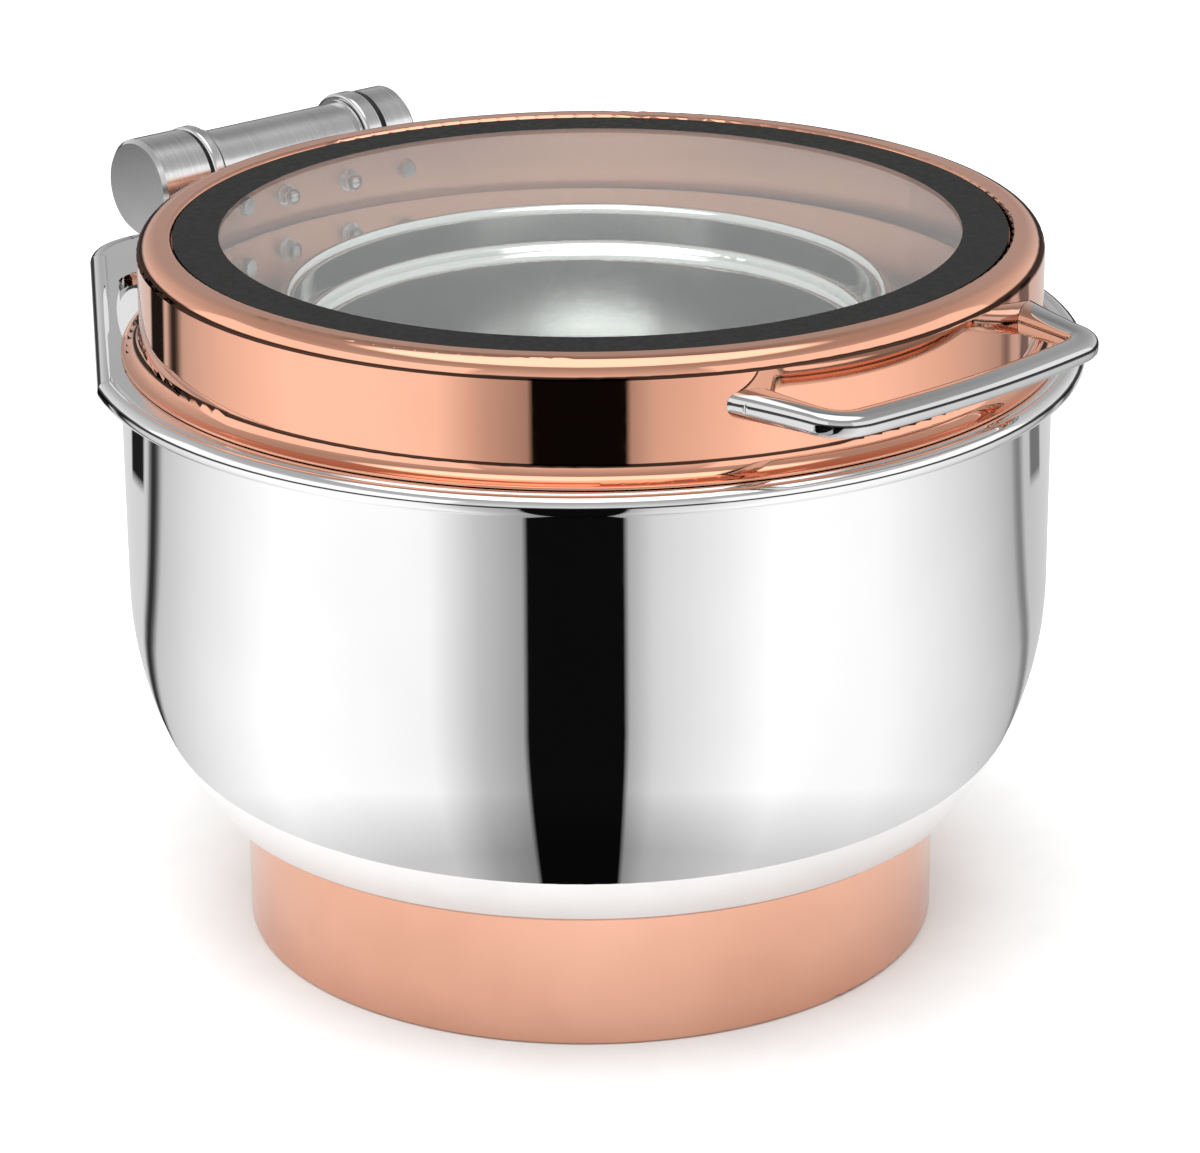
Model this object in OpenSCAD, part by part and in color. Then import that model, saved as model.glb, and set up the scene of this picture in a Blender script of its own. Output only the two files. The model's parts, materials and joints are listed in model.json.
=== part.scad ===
// Round soup chafer: copper base ring, polished steel vessel, hinged copper lid with a glass window.
// Units are millimetres. Z is up, the lid handle faces -Y, the hinge is at +Y.

/* [Base] */
// outer radius of the copper base ring
base_r = 137; // [120:1:150]
// height of the base ring
base_h = 57; // [45:1:70]
// sheet thickness of the base ring
base_t = 1.5; // [1.0:0.1:2.5]

/* [Vessel] */
// outer radius of the bowl wall
bowl_r = 180; // [160:1:200]
// radius of the bowl's lower curve
bowl_curve = 138; // [100:1:160]
// sheet thickness of the bowl
bowl_t = 1.2; // [0.8:0.1:2.0]
// height of the rim deck's top face
deck_z = 238; // [220:1:260]
// outer radius over the rolled rim bead
rim_r = 192.5; // [185:0.5:205]
// radius of the rolled bead
bead_r = 4; // [2.5:0.1:6]
// thickness of the rim deck
deck_t = 4; // [3:0.1:6]
// inner radius of the rim deck
deck_in = 160; // [155:1:162]

/* [Hinge tab] */
// angle that the tab's slanted sides face away from the hinge
tab_angle = 55.8; // [45:0.1:65]
// distance from the vessel's axis to the tab's slanted sides
tab_side = 189.2; // [185:0.1:192]
// distance from the vessel's axis to the tab's back edge
tab_back = 231.5; // [225:0.5:240]
// corner radius of the tab
tab_corner = 34; // [20:1:45]
// depth of the two deck recesses
pocket_d = 2.5; // [1:0.1:3]

/* [Lid] */
// outer radius of the lid wall
lid_r = 173.7; // [165:0.1:180]
// outer radius of the lid's bottom flange
flange_r = 181; // [176:0.1:184]
// height of the lid's top edge above the table
lid_top = 283; // [270:0.5:300]
// sheet thickness of the lid
lid_t = 1.2; // [0.8:0.1:2.0]
// radius of the lid's top shoulder
shoulder_r = 7; // [3:0.5:12]
// radius of the glass window
glass_r = 159.8; // [140:0.1:165]
// thickness of the glass
glass_t = 4; // [3:0.1:6]
// inner radius of the black border
border_in = 142.2; // [130:0.1:155]

/* [Hinge] */
// distance of the hinge axis behind the vessel's axis
hinge_y = 203.4; // [195:0.1:210]
// height of the hinge axis
hinge_z = 266.25; // [260:0.25:275]
// radius of the end caps
cap_r = 20.1; // [16:0.1:24]
// radius of the damper barrel
barrel_r = 17; // [14:0.1:20]
// overall length of the hinge
hinge_len = 131.5; // [110:0.5:150]
// distance that the lid's axis sits in front of the vessel's axis
lid_shift = 3; // [0:0.5:4]
// radius of the hinge shaft
shaft_r = 7; // [5:0.1:9]

/* [Handle] */
// height of the handle's feet
foot_z = 264.5; // [250:0.5:270]
// height of the handle's grip
grip_z = 263; // [250:0.5:275]
// distance from the vessel's axis to the middle of the grip
grip_y = 199.5; // [190:0.5:215]
// radius of the grip's gentle bow
grip_bow = 470; // [250:10:800]
// half the distance between the handle's two knees
knee_x = 66.5; // [60:0.5:90]
// angle of each foot from the middle of the handle
foot_a = 25.6; // [20:0.1:32]
// angle that the handle stands away from the front of the lid
handle_turn = 2.5; // [-5:0.5:5]
// height of the grip section
grip_h = 8.5; // [6:0.5:14]
// depth of the grip section
grip_w = 12.5; // [8:0.5:16]

/* [Pan] */
// inner radius of the food pan's neck
pan_neck = 111.5; // [100:0.5:130]
// inner radius of the food pan below its shoulder
pan_body = 104; // [95:0.5:120]
// height of the pan ring's top face
ring_z = 247; // [241:0.5:250]
// height of the food pan's floor
pan_floor = 75; // [70:1:150]

/* [Hidden] */
clear = 0.2;
stud_ring = 122;
bowl_bottom = base_h;
curve_x = bowl_r - bowl_curve;
curve_z = 142.6;
corner_br = 6;
corner_bx = curve_x + sqrt(pow(bowl_curve - corner_br, 2) - pow(curve_z - bowl_bottom - corner_br, 2));
corner_bz = bowl_bottom + corner_br;
bead_z = deck_z - bead_r + 0.2;
bead_c = rim_r - bead_r;
tab_n = 90 + tab_angle;
corner_y = tab_back - tab_corner;
corner_x = (tab_side - tab_corner - corner_y * sin(tab_n)) / cos(tab_n);
side_c = tab_side - bead_r;
// gap from the bead's centre line to the deck plate's edge, which leaves a fine crease
crease = 3;
rim_n = tab_n + acos(side_c / bead_c);
flange_z = deck_z + clear;
flange_top = flange_z + lid_t;
foot_fillet = 6;
seat_z = 276;
glass_z = seat_z + lid_t + 1.0;
glass_top = glass_z + glass_t;
edge_r = glass_r + 0.4;
roll_r = 1.7;
wall_top = lid_top - shoulder_r;
knuckle_l0 = -40;
knuckle_l1 = -34.5;
barrel_x0 = -31;
barrel_x1 = 38;
knuckle_r0 = 40;
knuckle_r1 = 48.4;
cap_l1 = -42;
cap_r0 = 50.6;
knuckle_r = cap_r + 0.6;
bracket_t = 2.5;
// hinge bolts in the lid wall: [distance sideways, height]
bolts = [[-42.8, 260], [-16.6, 258.5], [16.6, 258.5], [42.8, 260]];
bolt_r = 2;
bolt_hole = 2.1;
// how far the bolts reach in from the lid wall's outer face
bolt_in = 5.2;
// how far the stud reaches into the right knuckle's arm
stud_in = 6;
ring_r = 166;
ring_hole = 113.2;

// ---------- helpers ----------
module spin(a0 = 0, a = 360) {
    rotate([0, 0, a0]) rotate_extrude(angle = a, $fn = 256) children();
}

// a ring with a rectangular section
module ring(r0, r1, z0, z1) {
    spin() translate([r0, z0]) square([r1 - r0, z1 - z0]);
}

// quarter of an annulus in the plane, between radii ri and ro, starting at angle a
module quarter(ri, ro, a) {
    intersection() {
        difference() {
            circle(r = ro, $fn = 96);
            circle(r = ri, $fn = 96);
        }
        rotate([0, 0, a]) square([ro + 1, ro + 1]);
    }
}

// shape along the hinge axis, from x0 to x1
module along(x0, x1, r, r2 = 0) {
    translate([x0, hinge_y, hinge_z]) rotate([0, 90, 0]) {
        difference() {
            cylinder(r = r, h = x1 - x0, $fn = 128);
            if (r2 > 0) translate([0, 0, -1]) cylinder(r = r2, h = x1 - x0 + 2, $fn = 128);
        }
    }
}

// revolved section along the hinge axis; the child lies in x (radius) and y (along the axis)
module turned(x0, flip = false) {
    translate([x0, hinge_y, hinge_z]) rotate([0, flip ? -90 : 90, 0])
        rotate_extrude($fn = 128) children();
}

// places a child at azimuth a, its +X pointing outwards
module at_angle(a, r, z) {
    rotate([0, 0, a]) translate([r, 0, z]) children();
}

// moves a lid piece to the lid's own axis
module on_lid() {
    translate([0, -lid_shift, 0]) children();
}

// places a child at one of the two handle feet
module at_foot(s, r) {
    at_angle(-90 + handle_turn + s * foot_a, r, foot_z) rotate([0, 90, 0]) children();
}

// places a child at a hinge bolt, its +Z pointing out of the lid wall
module at_bolt(b, r) {
    at_angle(acos(b[0] / lid_r), r, b[1]) rotate([0, 90, 0]) children();
}

// ---------- base ----------
module base_ring() color([0.86, 0.6, 0.48]) difference() {
    spin() {
        translate([base_r - base_t, 1.5]) square([base_t, base_h - 3]);
        translate([base_r - 1.5, 1.5]) circle(r = 1.5, $fn = 48);
        translate([base_r - 5, 0]) square([3.5, 1.5]);
        translate([base_r - 1.5, base_h - 1.5]) circle(r = 1.5, $fn = 48);
        translate([base_r - 25, base_h - base_t]) square([23.5, base_t]);
    }
    for (a = [45:90:315]) rotate([0, 0, a]) translate([stud_ring, 0, base_h - 3])
        cylinder(r = 2.7, h = 6, $fn = 32);
}

module base_studs() color([0.75, 0.76, 0.78]) {
    for (a = [45:90:315]) rotate([0, 0, a]) translate([stud_ring, 0, base_h - 13])
        cylinder(r = 2.5, h = 13, $fn = 32);
}

module base_washers() color([0.75, 0.76, 0.78]) {
    for (a = [45:90:315]) rotate([0, 0, a]) translate([stud_ring, 0, base_h - base_t - 1])
        difference() {
            cylinder(r = 5, h = 1, $fn = 32);
            translate([0, 0, -1]) cylinder(r = 2.7, h = 3, $fn = 32);
        }
}

module base_nuts() color([0.75, 0.76, 0.78]) {
    for (a = [45:90:315]) rotate([0, 0, a]) translate([stud_ring, 0, base_h - base_t - 5])
        difference() {
            cylinder(r = 4.6, h = 4, $fn = 6);
            translate([0, 0, -1]) cylinder(r = 2.52, h = 6, $fn = 32);
        }
}

module heat_disc() color([0.7, 0.71, 0.72]) spin() {
    translate([0, bowl_bottom - 4]) square([104, 4]);
    translate([104, bowl_bottom - 2]) circle(r = 2, $fn = 48);
}

// ---------- bowl ----------
// section of everything inside a wall lying t below the outer skin
module bowl_section(t) {
    difference() {
        union() {
            intersection() {
                translate([0, bowl_bottom + t]) square([bowl_r + 1, curve_z - bowl_bottom - t]);
                translate([curve_x, curve_z]) circle(r = bowl_curve - t, $fn = 360);
            }
            translate([0, bowl_bottom + t]) square([curve_x, curve_z - bowl_bottom - t]);
            translate([0, curve_z - 0.01]) square([bowl_r - t, deck_z - deck_t - curve_z + 0.01]);
        }
        // rounds the edge between the curve and the flat bottom
        difference() {
            polygon([
                [corner_bx, corner_bz],
                [corner_bx + (corner_bx - curve_x) * 0.2, corner_bz - (curve_z - corner_bz) * 0.2],
                [corner_bx, corner_bz - 20]
            ]);
            translate([corner_bx, corner_bz]) circle(r = corner_br - t, $fn = 64);
        }
    }
}

module bowl_shell() color([0.82, 0.83, 0.84]) spin() difference() {
    bowl_section(0);
    bowl_section(bowl_t);
    // open at the top
    translate([-1, deck_z - deck_t - 0.02]) square([bowl_r - bowl_t + 1, 1]);
}

// ---------- rim deck with hinge tab ----------
// part of the deck plate under the hinge, ending inside the rolled bead
module tab_outline() {
    cr = tab_corner - bead_r - crease;
    rr = bead_c - crease;
    left = concat(
        [[170 * cos(rim_n), 170 * sin(rim_n)], [rr * cos(rim_n), rr * sin(rim_n)]],
        [for (i = [0:6]) let (a = tab_n - i * tab_angle / 6)
            [corner_x + cr * cos(a), corner_y + cr * sin(a)]]
    );
    n = len(left);
    polygon(concat(left, [for (i = [n - 1:-1:0]) [-left[i][0], left[i][1]]]));
}

// outline of the left recess beside the hinge; its inner side runs under the lid
module pocket() {
    rp = 14;
    d = tab_side - 11;
    back = 184;
    ky = back - rp;
    kx = (d - rp - ky * sin(tab_n)) / cos(tab_n);
    difference() {
        union() {
            translate([kx, ky]) circle(r = rp, $fn = 96);
            polygon([
                [d * cos(tab_n) - 25 * sin(tab_n), d * sin(tab_n) + 25 * cos(tab_n)],
                [kx + rp * cos(tab_n), ky + rp * sin(tab_n)],
                [kx, ky],
                [kx + rp, ky],
                [kx + rp, 150],
                [-130, 100]
            ]);
        }
        translate([0, -lid_shift]) circle(r = 176, $fn = 360);
    }
}

// small dressed joint between two runs of the bead
module bead_joint(x, y) {
    translate([x, y, bead_z]) sphere(r = bead_r + 0.06, $fn = 48);
}

// rolled bead round the rim and the tab; its runs stop a hair apart under the dressed joints
module bead_run() {
    gap = 0.1;
    cr = tab_corner - bead_r;
    ga = gap / bead_c * 180 / PI;
    gc = gap / cr * 180 / PI;
    rotate([0, 0, rim_n + ga]) rotate_extrude(angle = 540 - 2 * (rim_n + ga), $fn = 360)
        translate([bead_c, bead_z]) circle(r = bead_r, $fn = 48);
    x0 = bead_c * cos(rim_n);
    y0 = bead_c * sin(rim_n);
    x1 = corner_x + cr * cos(tab_n);
    y1 = corner_y + cr * sin(tab_n);
    side = sqrt(pow(x1 - x0, 2) + pow(y1 - y0, 2));
    for (m = [0, 1]) mirror([m, 0, 0]) {
        translate([x0, y0, bead_z]) rotate([0, 0, atan2(y1 - y0, x1 - x0)]) rotate([0, 90, 0])
            translate([0, 0, gap]) cylinder(r = bead_r, h = side - 2 * gap, $fn = 48);
        translate([corner_x, corner_y, 0]) rotate([0, 0, 90 + gc])
            rotate_extrude(angle = tab_angle - 2 * gc, $fn = 180)
                translate([cr, bead_z]) circle(r = bead_r, $fn = 48);
        bead_joint(x0, y0);
        bead_joint(x1, y1);
        bead_joint(corner_x, corner_y + cr);
    }
    translate([corner_x + gap, corner_y + cr, bead_z]) rotate([0, 90, 0])
        cylinder(r = bead_r, h = -2 * corner_x - 2 * gap, $fn = 48);
}

module rim_deck() color([0.83, 0.84, 0.85]) difference() {
    union() {
        translate([0, 0, deck_z - deck_t]) cylinder(r = bead_c - crease, h = deck_t, $fn = 360);
        translate([0, 0, deck_z - deck_t]) linear_extrude(height = deck_t) tab_outline();
        bead_run();
    }
    translate([0, 0, deck_z - deck_t - 5]) cylinder(r = deck_in, h = 20, $fn = 360);
    for (m = [0, 1]) mirror([m, 0, 0]) translate([0, 0, deck_z - pocket_d])
        linear_extrude(height = 5) pocket();
    for (x = [-18, 25]) for (y = [hinge_y - 6, hinge_y + 6])
        translate([x, y, deck_z - 10]) cylinder(r = 2.75, h = 20, $fn = 32);
}

// ---------- hinge, fixed side ----------
module hinge_pedestal() color([0.8, 0.81, 0.82]) difference() {
    translate([-28, hinge_y - 13, deck_z]) cube([63, 26, 16.5]);
    along(-40, 50, barrel_r + 0.02);
    for (x = [-18, 25]) for (y = [hinge_y - 6, hinge_y + 6])
        translate([x, y, deck_z - 1]) cylinder(r = 2.1, h = 9, $fn = 32);
}

module pedestal_screws() color([0.6, 0.61, 0.63]) {
    for (x = [-18, 25]) for (y = [hinge_y - 6, hinge_y + 6]) {
        translate([x, y, deck_z - deck_t]) cylinder(r = 2.05, h = deck_t + 7.5, $fn = 32);
        translate([x, y, deck_z - deck_t - 3]) difference() {
            cylinder(r = 4, h = 3, $fn = 32);
            translate([0, 0, -1]) cylinder(r = 1.6, h = 3, $fn = 6);
        }
    }
}

module damper_barrel() color([0.62, 0.63, 0.65]) along(barrel_x0, barrel_x1, barrel_r, 14);

module barrel_covers() color([0.85, 0.86, 0.87]) {
    along(barrel_x0 - 2, barrel_x0, 18.3, 10.02);
    along(barrel_x1, barrel_x1 + 1.6, 18.3, 10.02);
}

module shaft_bushes() color([0.72, 0.56, 0.28]) {
    along(barrel_x0 - 1.9, barrel_x0 + 6, 10, shaft_r + 0.05);
    along(barrel_x0 + 0.1, barrel_x0 + 6, 13.95, shaft_r + 0.05);
    along(barrel_x1 - 6, barrel_x1 + 1.5, 10, shaft_r + 0.05);
    along(barrel_x1 - 6, barrel_x1 - 0.1, 13.95, shaft_r + 0.05);
}

module shaft_seals() color([0.08, 0.08, 0.08]) {
    along(barrel_x0 + 6.2, barrel_x0 + 9, 13.95, shaft_r + 0.3);
    along(barrel_x1 - 9, barrel_x1 - 6.2, 13.95, shaft_r + 0.3);
}

// sector of a ring along the hinge axis, between angles a0 and a0 + a measured from +Y towards +Z
module sector(x0, x1, r0, r1, a0, a) {
    translate([x0, hinge_y, hinge_z]) rotate([0, 0, 90]) rotate([90, 0, 0]) rotate([0, 0, a0])
        rotate_extrude(angle = a, $fn = 128) translate([r0, 0]) square([r1 - r0, x1 - x0]);
}

module damper_stator() color([0.5, 0.51, 0.53])
    sector(barrel_x0 + 9.3, barrel_x1 - 9.3, 8.95, 13.98, 235, 70);

// ---------- pans ----------
module pan_ring() color([0.8, 0.81, 0.82]) spin() {
    // outer skirt standing on the deck
    translate([ring_r - 1.2, deck_z + clear]) square([1.2, ring_z - deck_z - clear - 2.5]);
    translate([ring_r - 2.5, ring_z - 2.5]) quarter(1.3, 2.5, 0);
    translate([ring_hole + 3, ring_z - 1.2]) square([ring_r - 2.5 - ring_hole - 3, 1.2]);
    // inner edge turned down
    translate([ring_hole + 3, ring_z - 3]) quarter(1.8, 3, 90);
    translate([ring_hole, ring_z - 9]) square([1.2, 6]);
}

module food_pan() color([0.84, 0.85, 0.86]) spin() {
    pr = 3.5;
    zc = ring_z + 0.3 + pr;
    rc = pan_neck + pr;
    sz = 236;
    // rolled rim, open underneath on its inner side
    difference() {
        translate([rc, zc]) circle(r = pr, $fn = 64);
        translate([rc, zc]) circle(r = pr - 1, $fn = 64);
    }
    // neck
    translate([pan_neck, sz + 4]) square([1, zc - sz - 4]);
    // shoulder, turning in and then down
    translate([pan_neck - 3, sz + 4]) quarter(3, 4, 270);
    translate([pan_body + 4, sz]) square([pan_neck - 3 - pan_body - 4, 1]);
    translate([pan_body + 4, sz - 3]) quarter(3, 4, 90);
    // body and floor
    translate([pan_body, pan_floor + 14]) square([1, sz - 3 - pan_floor - 14]);
    translate([pan_body - 13, pan_floor + 14]) quarter(13, 14, 270);
    translate([0, pan_floor]) square([pan_body - 13, 1]);
}

// ---------- lid ----------
module lid_frame() color([0.92, 0.65, 0.52]) on_lid() difference() {
    spin() {
        // flange and foot fillet
        translate([lid_r + foot_fillet, flange_top + foot_fillet])
            quarter(foot_fillet, foot_fillet + lid_t, 180);
        translate([lid_r + foot_fillet, flange_z]) square([flange_r - lid_r - foot_fillet - 0.6, lid_t]);
        translate([flange_r - 0.6, flange_z + lid_t / 2]) circle(r = lid_t / 2, $fn = 32);
        // wall
        translate([lid_r - lid_t, flange_top + foot_fillet])
            square([lid_t, wall_top - flange_top - foot_fillet]);
        // shoulder
        translate([lid_r - shoulder_r, wall_top]) quarter(shoulder_r - lid_t, shoulder_r, 0);
        translate([edge_r + roll_r, lid_top - lid_t])
            square([lid_r - shoulder_r - edge_r - roll_r, lid_t]);
        translate([edge_r + roll_r, lid_top - roll_r]) quarter(roll_r - lid_t, roll_r, 90);
        // drop to the glass seat
        translate([edge_r, seat_z]) square([lid_t, lid_top - roll_r - seat_z]);
        translate([150, seat_z]) square([edge_r - 150 + lid_t, lid_t]);
    }
    // the flange stops short of the hinge
    intersection() {
        difference() {
            translate([0, 0, flange_z - 1]) cylinder(r = flange_r + 5, h = 6, $fn = 360);
            translate([0, 0, flange_z - 2]) cylinder(r = lid_r + 0.6, h = 8, $fn = 360);
        }
        translate([0, 0, flange_z - 2]) linear_extrude(height = 8)
            polygon([
                [0, 0],
                [-220 * sin(38), 220 * cos(38)],
                [-160, 260],
                [160, 260],
                [220 * sin(38), 220 * cos(38)]
            ]);
    }
    // holes for the hinge bolts and handle screws
    for (b = bolts) at_bolt(b, lid_r - 5) cylinder(r = bolt_hole, h = 10, $fn = 32);
    for (s = [-1, 1]) at_foot(s, lid_r - 5) cylinder(r = 2.6, h = 10, $fn = 32);
}

module window_glass() color([0.9, 0.94, 0.94, 0.35]) on_lid() spin() difference() {
    translate([0, glass_z]) square([glass_r, glass_t]);
    translate([border_in, glass_top - 0.4]) square([30, 2]);
}

module window_border() color([0.1, 0.1, 0.1]) on_lid() ring(border_in, glass_r, glass_top - 0.4, glass_top);

module window_seal() color([0.15, 0.15, 0.15]) on_lid() ring(151, glass_r, seat_z + lid_t, glass_z);

// ---------- hinge, lid side ----------
module hinge_bracket() color([0.78, 0.79, 0.8]) difference() {
    union() {
        on_lid() intersection() {
            ring(lid_r + 0.02, lid_r + bracket_t, 250, 269);
            translate([-50, 100, 0]) cube([100, 100, 400]);
        }
        for (x = [[knuckle_l0, knuckle_l1], [knuckle_r0, knuckle_r1]]) difference() {
            translate([x[0], lid_r - 14, 253]) cube([x[1] - x[0], hinge_y - lid_r + 14, 14]);
            on_lid() translate([0, 0, 100]) cylinder(r = lid_r + 0.5, h = 200, $fn = 360);
            along(x[0] - 1, x[1] + 1, knuckle_r + 0.02);
        }
    }
    on_lid() for (b = bolts) at_bolt(b, lid_r - bolt_in)
        cylinder(r = bolt_hole, h = bolt_in + bracket_t + stud_in + 0.2, $fn = 32);
}

// three headed bolts and, in the right knuckle's arm, one stud
module bracket_bolts() color([0.7, 0.71, 0.73]) on_lid() {
    for (b = [bolts[0], bolts[1], bolts[2]]) at_bolt(b, lid_r - bolt_in) {
        cylinder(r = bolt_r, h = bolt_in + bracket_t + 0.3, $fn = 32);
        translate([0, 0, bolt_in + bracket_t + 0.1]) difference() {
            cylinder(r = 3.2, h = 2.4, $fn = 32);
            translate([0, 0, 1]) cylinder(r = 1.4, h = 3, $fn = 6);
        }
    }
    at_bolt(bolts[3], lid_r - bolt_in) cylinder(r = bolt_r, h = bolt_in + bracket_t + stud_in, $fn = 32);
}

module dome_nuts() color([0.86, 0.87, 0.88]) on_lid() {
    for (b = [bolts[1], bolts[2]]) at_bolt(b, lid_r - lid_t - 0.1) mirror([0, 0, 1]) difference() {
        union() {
            cylinder(r = 4.6, h = 0.8, $fn = 48);
            translate([0, 0, 0.8]) cylinder(r = 4.1, h = 3.4, $fn = 6);
            translate([0, 0, 4.2]) intersection() {
                sphere(r = 3.4, $fn = 48);
                cylinder(r = 5, h = 5, $fn = 48);
            }
        }
        translate([0, 0, -1]) cylinder(r = bolt_r + 0.04, h = 5.6, $fn = 32);
    }
}

module disc_nuts() color([0.8, 0.81, 0.82]) on_lid() {
    for (b = [bolts[0], bolts[3]]) at_bolt(b, lid_r - lid_t - 0.1) mirror([0, 0, 1]) difference() {
        union() {
            cylinder(r = 4, h = 2.5, $fn = 48);
            translate([0, 0, 2.5]) cylinder(r1 = 4, r2 = 3.3, h = 2.2, $fn = 48);
        }
        translate([0, 0, -1]) cylinder(r = bolt_r + 0.04, h = 5.6, $fn = 32);
    }
}

module hinge_shaft() color([0.7, 0.71, 0.73]) along(-57, 60, shaft_r);

module damper_rotor() color([0.55, 0.56, 0.58]) {
    sector(barrel_x0 + 9.5, barrel_x1 - 9.5, shaft_r + 0.5, 13.6, 118, 34);
    along(barrel_x0 + 9.5, barrel_x1 - 9.5, 8.6, shaft_r + 0.02);
}

module thrust_washers() color([0.12, 0.12, 0.12]) {
    along(knuckle_l1 + 0.02, barrel_x0 - 2.1, 16, shaft_r + 0.05);
    along(barrel_x1 + 1.7, knuckle_r0 - 0.02, 16, shaft_r + 0.05);
}

module knuckle(w) {
    c = 1.5;
    translate([shaft_r + 0.02, 0]) square([knuckle_r - c - shaft_r - 0.02, w]);
    translate([knuckle_r - c, c]) square([c, w - 2 * c]);
    for (y = [c, w - c]) translate([knuckle_r - c, y]) circle(r = c, $fn = 48);
}

module knuckle_left() color([0.85, 0.86, 0.87]) turned(knuckle_l0) knuckle(knuckle_l1 - knuckle_l0);

module knuckle_right() color([0.85, 0.86, 0.87]) turned(knuckle_r0) knuckle(knuckle_r1 - knuckle_r0);

module cap_spacers() color([0.03, 0.03, 0.03]) {
    along(cap_l1 + 0.02, knuckle_l0 - 0.02, 18.4, shaft_r + 0.05);
    along(knuckle_r1 + 0.02, cap_r0 - 0.02, 18.4, shaft_r + 0.05);
}

// end cap: length l, chamfered outer end, blind bore of depth b
module cap(l, b) {
    difference() {
        square([cap_r, l]);
        translate([cap_r, l - 1.6]) rotate([0, 0, 45]) square([5, 5]);
        translate([-1, -1]) square([shaft_r + 0.03 + 1, b + 1]);
    }
}

module cap_left() color([0.75, 0.76, 0.78]) difference() {
    turned(cap_l1, true) cap(hinge_len / 2 + cap_l1, 15.5);
    translate([-50, hinge_y, hinge_z - 22]) cylinder(r = 2, h = 16, $fn = 32);
}

module cap_right() color([0.75, 0.76, 0.78]) difference() {
    turned(cap_r0) cap(hinge_len / 2 - cap_r0, 10);
    translate([56, hinge_y, hinge_z - 22]) cylinder(r = 2, h = 16, $fn = 32);
}

module cap_screws() color([0.25, 0.25, 0.26]) {
    for (x = [-50, 56]) translate([x, hinge_y, hinge_z - shaft_r - 10]) difference() {
        cylinder(r = 1.97, h = 9.95, $fn = 32);
        translate([0, 0, -1]) cylinder(r = 1.1, h = 4, $fn = 6);
    }
}

// ---------- handle ----------
leg_n = 12;
turn_n = 12;
grip_n = 9;
turn_in = 10;
function grip_line(x) = -(grip_y - x * x / (2 * grip_bow));
foot_p = [(lid_r - 8) * sin(foot_a + 0.5), -(lid_r - 8) * cos(foot_a + 0.5)];
knee_p = [knee_x, grip_line(knee_x)];
leg_len = sqrt(pow(knee_p[0] - foot_p[0], 2) + pow(knee_p[1] - foot_p[1], 2));
leg_end = knee_p + (foot_p - knee_p) * turn_in / leg_len;
turn_end = [knee_x - turn_in, grip_line(knee_x - turn_in)];
function bez(p, q, r, t) = (1 - t) * (1 - t) * p + 2 * t * (1 - t) * q + t * t * r;
function leg_w(t) = grip_w - 1.5 + 7 * pow(1 - t, 1.6);
function leg_h(t) = grip_h + 1 + 2.5 * pow(1 - t, 1.3);
// centre line of the right half, wall to middle: [x, y, height, depth, z]
half_path = concat(
    [for (i = [0:leg_n]) let (t = i / leg_n, p = foot_p + (leg_end - foot_p) * t)
        [p[0], p[1], leg_h(t), leg_w(t), foot_z + (grip_z - foot_z) * 0.8 * t]],
    [for (i = [1:turn_n]) let (t = i / turn_n, p = bez(leg_end, knee_p, turn_end, t))
        [p[0], p[1], grip_h + 1 - t, grip_w - 1.5 * (1 - t), foot_z + (grip_z - foot_z) * (0.8 + 0.2 * t)]],
    [for (i = [1:grip_n]) let (x = turn_end[0] * (1 - i / grip_n))
        [x, grip_line(x), grip_h, grip_w, grip_z]]
);
full_path = concat(half_path,
    [for (i = [len(half_path) - 2:-1:0]) let (p = half_path[i]) [-p[0], p[1], p[2], p[3], p[4]]]);
// depth of the screw bores in the handle's feet
foot_bore = 5.5;
sec_n = 28;
vent_w = 8;
vent_h = 3.6;
vent_x = -(knee_x + 4.2);
vent_y = -(grip_y - 8.8);
function sgn(v) = v < 0 ? -1 : 1;
function ring_pt(p, d, k) = let (a = 360 * k / sec_n, e = 0.78,
        u = sgn(cos(a)) * pow(abs(cos(a)), e) * p[3] / 2,
        v = sgn(sin(a)) * pow(abs(sin(a)), e) * p[2] / 2)
    [p[0] + d[1] * u, p[1] - d[0] * u, p[4] + v];
function dir(i) = let (a = full_path[max(i - 1, 0)], b = full_path[min(i + 1, len(full_path) - 1)],
        l = sqrt(pow(b[0] - a[0], 2) + pow(b[1] - a[1], 2)))
    [(b[0] - a[0]) / l, (b[1] - a[1]) / l];

module handle_bar() {
    m = len(full_path);
    pts = [for (i = [0:m - 1]) let (d = dir(i)) for (k = [0:sec_n - 1]) ring_pt(full_path[i], d, k)];
    sides = [for (i = [0:m - 2]) for (k = [0:sec_n - 1])
        let (a = i * sec_n, b = a + sec_n, k2 = (k + 1) % sec_n)
        [a + k, a + k2, b + k2, b + k]];
    first = [for (k = [sec_n - 1:-1:0]) k];
    last = [for (k = [0:sec_n - 1]) (m - 1) * sec_n + k];
    polyhedron(points = pts, faces = concat(sides, [first], [last]), convexity = 6);
}

module lid_handle() color([0.83, 0.84, 0.85]) on_lid() difference() {
    rotate([0, 0, handle_turn]) handle_bar();
    translate([0, 0, 200]) cylinder(r = lid_r + 0.05, h = 120, $fn = 256);
    for (s = [-1, 1]) at_foot(s, lid_r - 2) cylinder(r = 2.1, h = 2 + foot_bore, $fn = 24);
    // shallow oval vent in the outer face of the left bend
    rotate([0, 0, handle_turn]) translate([vent_x, vent_y, grip_z - 0.5])
        rotate([0, 0, -45]) rotate([90, 0, 0]) linear_extrude(height = 10)
            polygon([for (a = [0:18:342]) [vent_w / 2 * cos(a), vent_h / 2 * sin(a)]]);
}

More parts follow.
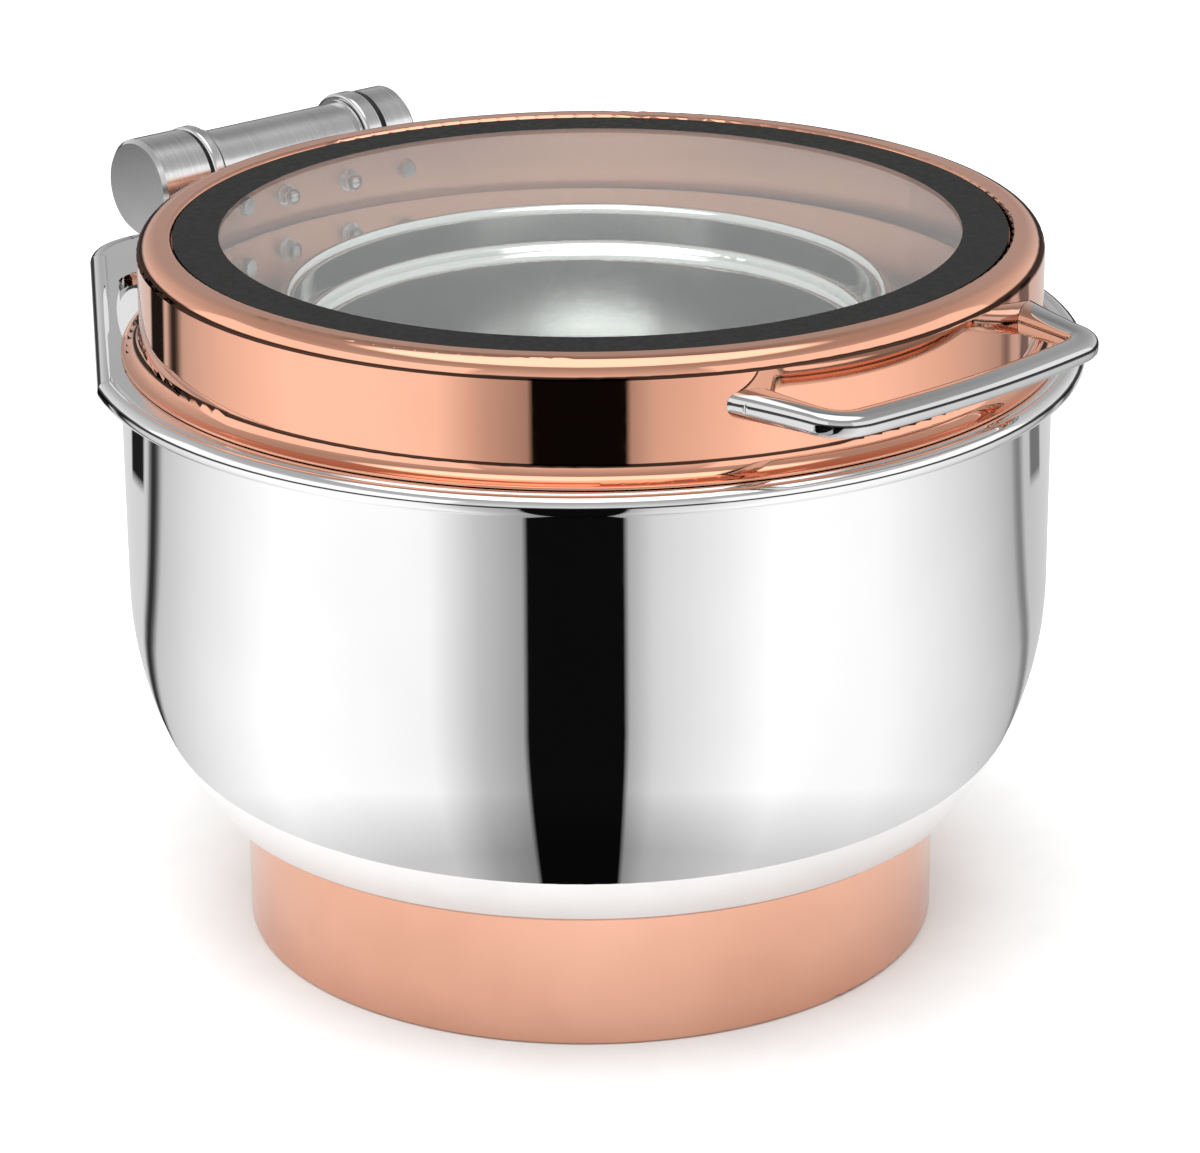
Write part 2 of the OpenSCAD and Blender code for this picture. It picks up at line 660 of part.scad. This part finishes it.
module handle_screws() color([0.8, 0.81, 0.82]) on_lid() {
    for (s = [-1, 1]) {
        at_foot(s, lid_r - 3) cylinder(r = 2.05, h = 2.7 + foot_bore, $fn = 32);
        at_foot(s, lid_r - lid_t - 1.2) mirror([0, 0, 1]) difference() {
            intersection() {
                cylinder(r = 4.6, h = 3, $fn = 48);
                translate([0, 0, -3.2]) sphere(r = 6, $fn = 64);
            }
            translate([0, 0, 1.2]) cylinder(r = 1.5, h = 3, $fn = 6);
        }
    }
}

module handle_washers() color([0.8, 0.8, 0.78]) on_lid() {
    for (s = [-1, 1]) at_foot(s, lid_r - lid_t - 0.1) mirror([0, 0, 1]) difference() {
        cylinder(r = 5.4, h = 1, $fn = 48);
        translate([0, 0, -1]) cylinder(r = 2.6, h = 3, $fn = 32);
    }
}

base_ring();
base_studs();
base_washers();
base_nuts();
heat_disc();
bowl_shell();
rim_deck();
hinge_pedestal();
pedestal_screws();
damper_barrel();
barrel_covers();
shaft_bushes();
shaft_seals();
damper_stator();
pan_ring();
food_pan();
lid_frame();
window_glass();
window_border();
window_seal();
hinge_bracket();
bracket_bolts();
dome_nuts();
disc_nuts();
hinge_shaft();
damper_rotor();
thrust_washers();
knuckle_left();
knuckle_right();
cap_spacers();
cap_left();
cap_right();
cap_screws();
lid_handle();
handle_screws();
handle_washers();
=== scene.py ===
import json
import math

import bmesh
import bpy
from mathutils import Matrix, Vector


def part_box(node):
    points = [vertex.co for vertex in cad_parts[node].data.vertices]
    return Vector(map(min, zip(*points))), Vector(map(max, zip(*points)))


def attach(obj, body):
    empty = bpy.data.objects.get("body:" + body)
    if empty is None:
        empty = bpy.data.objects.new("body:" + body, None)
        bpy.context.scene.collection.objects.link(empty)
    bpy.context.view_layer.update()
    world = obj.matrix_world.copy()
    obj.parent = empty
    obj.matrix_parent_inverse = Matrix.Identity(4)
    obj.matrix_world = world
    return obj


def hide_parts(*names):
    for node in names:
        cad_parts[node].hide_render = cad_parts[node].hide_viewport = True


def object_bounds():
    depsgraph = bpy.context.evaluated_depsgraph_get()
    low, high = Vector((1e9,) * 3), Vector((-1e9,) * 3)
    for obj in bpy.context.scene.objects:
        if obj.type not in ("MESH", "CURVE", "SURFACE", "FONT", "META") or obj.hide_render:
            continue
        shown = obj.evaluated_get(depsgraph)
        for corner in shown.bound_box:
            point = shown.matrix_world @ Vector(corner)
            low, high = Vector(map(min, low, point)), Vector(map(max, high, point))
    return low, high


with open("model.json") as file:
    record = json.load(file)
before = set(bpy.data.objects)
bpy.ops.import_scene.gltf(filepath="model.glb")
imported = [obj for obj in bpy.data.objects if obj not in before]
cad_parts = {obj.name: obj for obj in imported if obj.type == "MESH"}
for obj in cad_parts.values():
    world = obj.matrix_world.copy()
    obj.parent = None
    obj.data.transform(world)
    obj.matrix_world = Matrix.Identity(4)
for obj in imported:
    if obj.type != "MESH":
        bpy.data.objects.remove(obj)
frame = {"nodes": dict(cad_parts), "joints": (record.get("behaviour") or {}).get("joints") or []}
cad_lo, cad_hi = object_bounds()
nodes = frame["nodes"]

# ---------- camera ----------
forward = Vector((0.61425, 0.70561, -0.35331)).normalized()
level = forward.cross(Vector((0, 0, 1))).normalized()
above = level.cross(forward)
roll = -0.007
cam_up = above * math.cos(roll) - level * math.sin(roll)
cam_right = level * math.cos(roll) + above * math.sin(roll)
cam_data = bpy.data.cameras.new("camera")
cam_data.lens = 133.7
cam_data.sensor_width = 36
camera = bpy.data.objects.new("camera", cam_data)
bpy.context.scene.collection.objects.link(camera)
axes = Matrix((cam_right, cam_up, -forward)).transposed().to_4x4()
camera.matrix_world = Matrix.Translation((-1.0781, -1.2456, 0.7593)) @ axes
bpy.context.scene.camera = camera
bpy.context.scene.view_settings.view_transform = "Standard"

# directions on the floor: front points to the camera, side a quarter turn on from it
front = Vector((-forward.x, -forward.y, 0)).normalized()
side = Vector((-front.y, front.x, 0))


# ---------- node helpers ----------
class Graph:
    """Builds a node material; values are numbers, colours or other nodes' outputs."""

    def __init__(self, tree):
        self.tree = tree

    def add(self, kind, **inputs):
        node = self.tree.nodes.new(kind)
        for name, value in inputs.items():
            self.put(node.inputs[name.replace("_", " ")], value)
        return node

    def put(self, socket, value):
        if isinstance(value, bpy.types.NodeSocket):
            self.tree.links.new(value, socket)
        else:
            socket.default_value = value

    def math(self, operation, a, b=0.0):
        node = self.tree.nodes.new("ShaderNodeMath")
        node.operation = operation
        self.put(node.inputs[0], a)
        self.put(node.inputs[1], b)
        return node.outputs[0]

    def point(self, centre=(0, 0, 0)):
        """x, y and z of the surface point, measured from centre."""
        coord = self.add("ShaderNodeTexCoord")
        shift = self.tree.nodes.new("ShaderNodeVectorMath")
        shift.operation = "SUBTRACT"
        self.put(shift.inputs[0], coord.outputs["Object"])
        self.put(shift.inputs[1], centre)
        return shift.outputs[0]

    def noise(self, vector, scale, detail=2.0, rough=0.5):
        node = self.add("ShaderNodeTexNoise", Scale=scale, Detail=detail, Roughness=rough)
        self.put(node.inputs["Vector"], vector)
        return node.outputs[0]

    def spread(self, value, low, high, start=0.3, end=0.7):
        node = self.tree.nodes.new("ShaderNodeMapRange")
        for i, v in enumerate((value, start, end, low, high)):
            self.put(node.inputs[i], v)
        return node.outputs[0]

    def blend(self, factor, dark, light):
        node = self.tree.nodes.new("ShaderNodeMix")
        node.data_type = "RGBA"
        self.put(node.inputs[0], factor)
        self.put(node.inputs[6], (*dark, 1))
        self.put(node.inputs[7], (*light, 1))
        return node.outputs[2]

    def bump(self, height, strength, distance):
        node = self.add("ShaderNodeBump", Strength=strength, Distance=distance, Height=height)
        return node.outputs[0]

    def away(self, a, b):
        """Distance from the origin of the plane in which a and b are measured."""
        return self.math("SQRT", self.math("ADD", self.math("MULTIPLY", a, a), self.math("MULTIPLY", b, b)))

    def turned(self, axis, centre):
        """Coordinates (radius, place along the axis) for turning and brushing marks."""
        parts = self.add("ShaderNodeSeparateXYZ")
        self.put(parts.inputs[0], self.point(centre))
        across = [i for i in range(3) if i != axis]
        radius = self.away(parts.outputs[across[0]], parts.outputs[across[1]])
        made = self.add("ShaderNodeCombineXYZ")
        self.put(made.inputs[0], radius)
        self.put(made.inputs[1], parts.outputs[axis])
        return made.outputs[0]


def material(name):
    made = bpy.data.materials.new(name)
    made.use_nodes = True
    graph = Graph(made.node_tree)
    shader = made.node_tree.nodes["Principled BSDF"]
    return made, graph, shader


def polished(name, dark, light, rough_low, rough_high, haze=0.0):
    """Rolled and polished sheet: faint haze, a very slight waviness and fine wiping marks."""
    made, g, shader = material(name)
    p = g.point()
    cloud = g.noise(p, 9.0, 3.0)
    wipe = g.noise(p, 160.0, 4.0, 0.6)
    g.put(shader.inputs["Base Color"], g.blend(g.spread(cloud, 0.0, 1.0), dark, light))
    g.put(shader.inputs["Roughness"], g.spread(wipe, rough_low, rough_high))
    g.put(shader.inputs["Normal"], g.bump(g.noise(p, 14.0, 1.0), 0.05 + haze, 0.0006))
    shader.inputs["Metallic"].default_value = 1.0
    return made


def satin_inside(finish, axis_y, radius, height, rough):
    """Gives a polished lid a satin inner face, nearer its axis than radius and below height."""
    g = Graph(finish.node_tree)
    shader = finish.node_tree.nodes["Principled BSDF"]
    parts = g.add("ShaderNodeSeparateXYZ")
    g.put(parts.inputs[0], g.point((0, axis_y, 0)))
    x, y, z = parts.outputs
    inside = g.math("MULTIPLY", g.math("LESS_THAN", g.away(x, y), radius), g.math("LESS_THAN", z, height))
    outer = shader.inputs["Roughness"].links[0].from_socket
    g.put(shader.inputs["Roughness"], g.math("MAXIMUM", outer, g.math("MULTIPLY", inside, rough)))


def brushed(name, dark, light, rough, axis, centre, fine=2600.0, depth=0.00002):
    """Turned or brushed metal: fine rings round an axis."""
    made, g, shader = material(name)
    rings = g.noise(g.turned(axis, centre), fine, 3.0, 0.6)
    cloud = g.noise(g.point(), 30.0, 2.0)
    g.put(shader.inputs["Base Color"], g.blend(g.spread(rings, 0.0, 1.0), dark, light))
    g.put(shader.inputs["Roughness"], g.spread(cloud, rough * 0.85, rough * 1.15))
    g.put(shader.inputs["Normal"], g.bump(rings, 0.25, depth))
    shader.inputs["Metallic"].default_value = 1.0
    return made


def plain(name, dark, light, rough, scale, metal=0.0, strength=0.2, depth=0.0001):
    """Fine-grained surface: cast, moulded or painted."""
    made, g, shader = material(name)
    p = g.point()
    grain = g.noise(p, scale, 4.0, 0.6)
    g.put(shader.inputs["Base Color"], g.blend(g.spread(grain, 0.0, 1.0), dark, light))
    g.put(shader.inputs["Roughness"], g.spread(g.noise(p, scale / 5), rough * 0.85, rough * 1.15))
    g.put(shader.inputs["Normal"], g.bump(grain, strength, depth))
    shader.inputs["Metallic"].default_value = metal
    return made


def clear_glass(name):
    made, g, shader = material(name)
    p = g.point()
    g.put(shader.inputs["Roughness"], g.spread(g.noise(p, 12.0, 2.0), 0.0, 0.012))
    g.put(shader.inputs["Normal"], g.bump(g.noise(p, 5.0, 1.0), 0.02, 0.0004))
    shader.inputs["Base Color"].default_value = (0.93, 0.96, 0.95, 1)
    shader.inputs["Transmission Weight"].default_value = 1.0
    shader.inputs["IOR"].default_value = 1.45
    return made


# ---------- materials ----------
hinge = tuple(next(j for j in frame["joints"] if j["name"] == "lid_hinge")["pos_m"])
COPPER_DARK, COPPER_LIGHT = (0.88, 0.43, 0.29), (0.95, 0.49, 0.34)
STEEL_DARK, STEEL_LIGHT = (0.82, 0.82, 0.82), (0.90, 0.90, 0.90)
copper = polished("copper_polished", COPPER_DARK, COPPER_LIGHT, 0.02, 0.05)
glass_lo, glass_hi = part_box("window_glass")
lid_axis_y = (glass_lo.y + glass_hi.y) / 2
inner_face_r = 0.1731  # halfway through the sheet of the lid wall
ledge_z = glass_lo.z - 0.0008  # just under the glass
satin_inside(copper, lid_axis_y, inner_face_r, ledge_z, 0.3)
# base ring copper: the satin roughness is the real finish; the colour is darkened and its cloud blotches
# widened as painted shade and painted reflection, standing in for darker reflections the light panels do
# not give it
copper_satin = polished("copper_satin", (0.62, 0.325, 0.225), (0.77, 0.425, 0.31), 0.13, 0.18)
steel = polished("steel_polished", STEEL_DARK, STEEL_LIGHT, 0.015, 0.04, 0.05)
# handle steel: colour darker than the other steel as painted shade, standing in for the darker reflections
# on the handle
handle_steel_painted_shade = polished("steel_handle_painted_shade", (0.62, 0.62, 0.62), (0.72, 0.72, 0.72), 0.04, 0.08, 0.05)
spun = brushed("steel_spun", (0.78, 0.78, 0.77), (0.92, 0.92, 0.91), 0.09, 2, (0, 0, 0))
turned_steel = brushed("steel_turned", (0.66, 0.66, 0.66), (0.84, 0.84, 0.84), 0.2, 0, hinge)
small_steel = plain("steel_small", (0.62, 0.62, 0.63), (0.80, 0.80, 0.81), 0.2, 900.0, 1.0)
iron = brushed("iron_plate", (0.30, 0.30, 0.31), (0.42, 0.42, 0.43), 0.4, 2, (0, 0, 0))
glass = clear_glass("glass")
border = plain("ceramic_border", (0.012, 0.012, 0.012), (0.020, 0.020, 0.019), 0.6, 1500.0, 0.0, 0.1)
border.node_tree.nodes["Principled BSDF"].inputs["Specular IOR Level"].default_value = 0.12
silicone = plain("silicone", (0.02, 0.02, 0.02), (0.035, 0.035, 0.035), 0.55, 700.0)
black_plastic = plain("black_plastic", (0.006, 0.006, 0.006), (0.014, 0.014, 0.014), 0.35, 1200.0)
bronze = brushed("bronze", (0.42, 0.27, 0.10), (0.58, 0.38, 0.15), 0.3, 0, hinge)
black_steel = plain("black_steel", (0.03, 0.03, 0.03), (0.07, 0.07, 0.07), 0.35, 1500.0, 1.0)
nylon = plain("white_nylon", (0.70, 0.69, 0.65), (0.80, 0.79, 0.75), 0.5, 800.0)

FINISH = {
    copper: ["lid_frame"],
    # the base ring takes the copper with painted shade in its colour
    copper_satin: ["base_ring"],
    steel: ["bowl_shell", "rim_deck"],
    handle_steel_painted_shade: ["lid_handle"],
    spun: ["pan_ring", "food_pan"],
    turned_steel: [
        "damper_barrel", "barrel_covers", "knuckle_left", "knuckle_right", "cap_left", "cap_right",
    ],
    small_steel: [
        "base_studs", "base_washers", "base_nuts", "hinge_pedestal", "pedestal_screws", "hinge_bracket",
        "bracket_bolts", "dome_nuts", "disc_nuts", "hinge_shaft", "damper_stator", "damper_rotor",
        "handle_screws",
    ],
    iron: ["heat_disc"],
    glass: ["window_glass"],
    border: ["window_border"],
    silicone: ["window_seal", "shaft_seals"],
    black_plastic: ["thrust_washers", "cap_spacers"],
    bronze: ["shaft_bushes"],
    black_steel: ["cap_screws"],
    nylon: ["handle_washers"],
}
for finish, names in FINISH.items():
    for name in names:
        mesh = nodes[name].data
        mesh.materials.clear()
        mesh.materials.append(finish)
nodes["window_glass"].visible_shadow = False


# ---------- smooth handle ----------
def smooth_copy(name, source, body, finish, angle):
    """The CAD piece's own surface with its facets shaded as one smooth form."""
    mesh = bpy.data.meshes.new(name)
    work = bmesh.new()
    work.from_mesh(nodes[source].data)
    bmesh.ops.remove_doubles(work, verts=work.verts, dist=1e-6)
    bmesh.ops.dissolve_degenerate(work, edges=work.edges, dist=1e-6)
    for face in work.faces:
        face.smooth = True
        face.material_index = 0
    for edge in work.edges:
        edge.smooth = len(edge.link_faces) == 2 and edge.calc_face_angle(0) < math.radians(angle)
    work.to_mesh(mesh)
    work.free()
    for label in ("custom_normal", "sharp_face"):
        if label in mesh.attributes:
            mesh.attributes.remove(mesh.attributes[label])
    mesh.materials.clear()
    mesh.materials.append(finish)
    made = bpy.data.objects.new(name, mesh)
    bpy.context.scene.collection.objects.link(made)
    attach(made, body)
    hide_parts(source)
    return made


smooth_copy("handle_bar", "lid_handle", "lid", handle_steel_painted_shade, 35)


# ---------- stage ----------
def sheet_object(name, corners, finish):
    mesh = bpy.data.meshes.new(name)
    mesh.from_pydata(corners, [], [tuple(range(len(corners)))])
    made = bpy.data.objects.new(name, mesh)
    bpy.context.scene.collection.objects.link(made)
    mesh.materials.append(finish)
    return made


floor_gap = 0.0002
floor_reach = 4.0
floor_z = cad_lo.z - floor_gap
floor_finish = plain("floor_paint", (0.90, 0.91, 0.91), (0.93, 0.94, 0.94), 0.9, 40.0, 0.0, 0.02)
floor_corners = [
    (x * floor_reach, y * floor_reach, floor_z)
    for x, y in ((-1, -1), (1, -1), (1, 1), (-1, 1))
]
sheet_object("floor", floor_corners, floor_finish)

world = bpy.data.worlds.new("studio")
bpy.context.scene.world = world
world.use_nodes = True
world.node_tree.nodes["Background"].inputs["Color"].default_value = (1, 1, 1, 1)
world.node_tree.nodes["Background"].inputs["Strength"].default_value = 1.0

sun_data = bpy.data.lights.new("soft_sun", "SUN")
sun_data.energy = 1.9
sun_data.angle = math.radians(50)
sun = bpy.data.objects.new("soft_sun", sun_data)
bpy.context.scene.collection.objects.link(sun)
sun_aim = -(front * 0.2 - side * 0.1) - Vector((0, 0, 1))
sun.rotation_euler = sun_aim.to_track_quat("-Z", "Y").to_euler()
sun.visible_glossy = False

# light panels low round the object, seen only in reflections: (bearing from the front, brightness);
# bearings are in degrees, negative to the left as the camera sees it
PANELS = [
    # behind, up to the left strip
    (-180, 0.85), (-127, 0.70),
    # left dark strip
    (-124.5, 0.04), (-121.5, 0.03),
    # left panel, brightest in the middle
    (-118, 0.62), (-100, 0.90), (-78, 1.18), (-38, 1.08), (-26, 0.62), (-14.8, 0.40),
    # dark gap in front, where the camera stands
    (-14.2, 0.004), (9.2, 0.004),
    # right panel
    (9.8, 0.48), (16, 0.76), (34, 1.00), (46, 1.20), (72, 1.10), (94, 0.85), (112, 0.60), (118, 0.50),
    # right dark strip
    (120.5, 0.25), (122.5, 0.25),
    # behind again
    (125, 0.60), (180, 0.85),
]
# dark flags further out, reflected by the lid wall: (bearing from, to, share of light left)
FLAGS = [(-139, -128, 0.02), (128, 137, 0.30)]
FLAG_EDGE = 1.5  # width of a flag's soft edge in degrees
apex_out = 0.09  # the point that bearings are measured round, in front of the object's axis
panel_z = 0.060
panel_in, panel_out = 0.168, 3.0
dome_r = 3.0
steps = 180
rows = 24

# soft boxes overhead and on both sides, seen only in reflections:
# (bearing from, to, height from, to as the sine of the elevation, brightness)
BOXES = [
    (-118, -22, 0.10, 0.66, 1.15),
    (22, 118, 0.10, 0.66, 1.15),
    (-190, 190, 0.87, 1.20, 1.7),
]
BOX_EDGE = 8  # width of a box's soft edge in degrees
BOX_EDGE_UP = 0.06  # and of its lower and upper edge, as a sine
DOME_LOW, DOME_HIGH = 0.85, 0.45


def floor_bearing(g, centre):
    """x, y, the bearing from the front in radians, and z, all measured from centre."""
    parts = g.add("ShaderNodeSeparateXYZ")
    g.put(parts.inputs[0], g.point(tuple(centre)))
    x, y, z = parts.outputs
    along = g.math("ADD", g.math("MULTIPLY", x, front.x), g.math("MULTIPLY", y, front.y))
    across = g.math("ADD", g.math("MULTIPLY", x, side.x), g.math("MULTIPLY", y, side.y))
    return x, y, g.math("ARCTAN2", across, along), z


def panel_finish():
    made, g, shader = material("light_panels")
    x, y, bearing = floor_bearing(g, front * apex_out)[:3]
    place = g.math("ADD", g.math("DIVIDE", bearing, 2 * math.pi), 0.5)
    ramp = g.tree.nodes.new("ShaderNodeValToRGB")
    g.put(ramp.inputs[0], place)
    marks = ramp.color_ramp.elements
    while len(marks) > 1:
        marks.remove(marks[-1])
    for i, (angle, value) in enumerate(PANELS):
        mark = marks[0] if i == 0 else marks.new((angle + 180) / 360)
        mark.position = (angle + 180) / 360
        mark.color = (value, value, value, 1)
    radius = g.away(x, y)
    near_fade = g.spread(radius, 0.6, 1.0, 0.10, 0.16)
    far_fade = g.spread(radius, 1.0, 0.08, 0.85, 1.15)
    fade = g.math("MULTIPLY", near_fade, far_fade)
    degrees = g.math("MULTIPLY", bearing, 180 / math.pi)
    for b0, b1, keep in FLAGS:
        edges = [
            g.spread(degrees, 0.0, 1.0, b0, b0 + FLAG_EDGE),
            g.spread(degrees, 1.0, 0.0, b1 - FLAG_EDGE, b1),
            g.spread(radius, 0.0, 1.0 - keep, 0.52, 0.54),
        ]
        mask = g.math("MULTIPLY", g.math("MULTIPLY", edges[0], edges[1]), edges[2])
        fade = g.math("MULTIPLY", fade, g.math("SUBTRACT", 1.0, mask))
    glow = g.add("ShaderNodeEmission", Color=ramp.outputs[0], Strength=fade)
    made.node_tree.links.new(glow.outputs[0], made.node_tree.nodes["Material Output"].inputs["Surface"])
    return made


ring_points, ring_faces = [], []
for i in range(steps):
    a = 2 * math.pi * i / steps
    for r in (panel_in, panel_out):
        ring_points.append((r * math.cos(a), r * math.sin(a), panel_z))
for i in range(steps):
    j = (i + 1) % steps
    ring_faces.append((2 * i, 2 * i + 1, 2 * j + 1, 2 * j))
panel_mesh = bpy.data.meshes.new("light_panels")
panel_mesh.from_pydata(ring_points, [], ring_faces)
panels = bpy.data.objects.new("light_panels", panel_mesh)
bpy.context.scene.collection.objects.link(panels)
panel_mesh.materials.append(panel_finish())


def dome_finish():
    made, g, shader = material("soft_boxes")
    radians, z = floor_bearing(g, (0, 0, 0))[2:]
    bearing = g.math("MULTIPLY", radians, 180 / math.pi)
    height = g.math("DIVIDE", z, dome_r)
    total = g.spread(height, DOME_LOW, DOME_HIGH, 0.2, 0.8)
    total = g.math("MULTIPLY", total, g.spread(height, 0.06, 1.0, 0.13, 0.22))
    total = g.math("MULTIPLY", total, g.spread(g.math("ABSOLUTE", bearing), 1.0, 0.6, 140, 172))
    for b0, b1, h0, h1, value in BOXES:
        edges = [
            g.spread(bearing, 0.0, 1.0, b0, b0 + BOX_EDGE),
            g.spread(bearing, 1.0, 0.0, b1 - BOX_EDGE, b1),
            g.spread(height, 0.0, 1.0, h0, h0 + BOX_EDGE_UP),
            g.spread(height, 1.0, 0.0, h1 - BOX_EDGE_UP, h1),
        ]
        mask = value
        for edge in edges:
            mask = g.math("MULTIPLY", edge, mask)
        total = g.math("MAXIMUM", total, mask)
    glow = g.add("ShaderNodeEmission", Strength=total)
    made.node_tree.links.new(glow.outputs[0], made.node_tree.nodes["Material Output"].inputs["Surface"])
    return made


def reflection_only(thing):
    thing.visible_camera = False
    thing.visible_diffuse = False
    thing.visible_transmission = False
    thing.visible_shadow = False


dome_points, dome_faces = [], []
for k in range(rows + 1):
    e = math.pi / 2 * k / rows
    for i in range(steps):
        a = 2 * math.pi * i / steps
        dome_points.append((
            dome_r * math.cos(a) * math.cos(e),
            dome_r * math.sin(a) * math.cos(e),
            panel_z + dome_r * math.sin(e),
        ))
for k in range(rows):
    for i in range(steps):
        j = (i + 1) % steps
        dome_faces.append((k * steps + i, k * steps + j, (k + 1) * steps + j, (k + 1) * steps + i))
dome_mesh = bpy.data.meshes.new("soft_boxes")
dome_mesh.from_pydata(dome_points, [], dome_faces)
dome = bpy.data.objects.new("soft_boxes", dome_mesh)
bpy.context.scene.collection.objects.link(dome)
dome_mesh.materials.append(dome_finish())
reflection_only(dome)
reflection_only(panels)
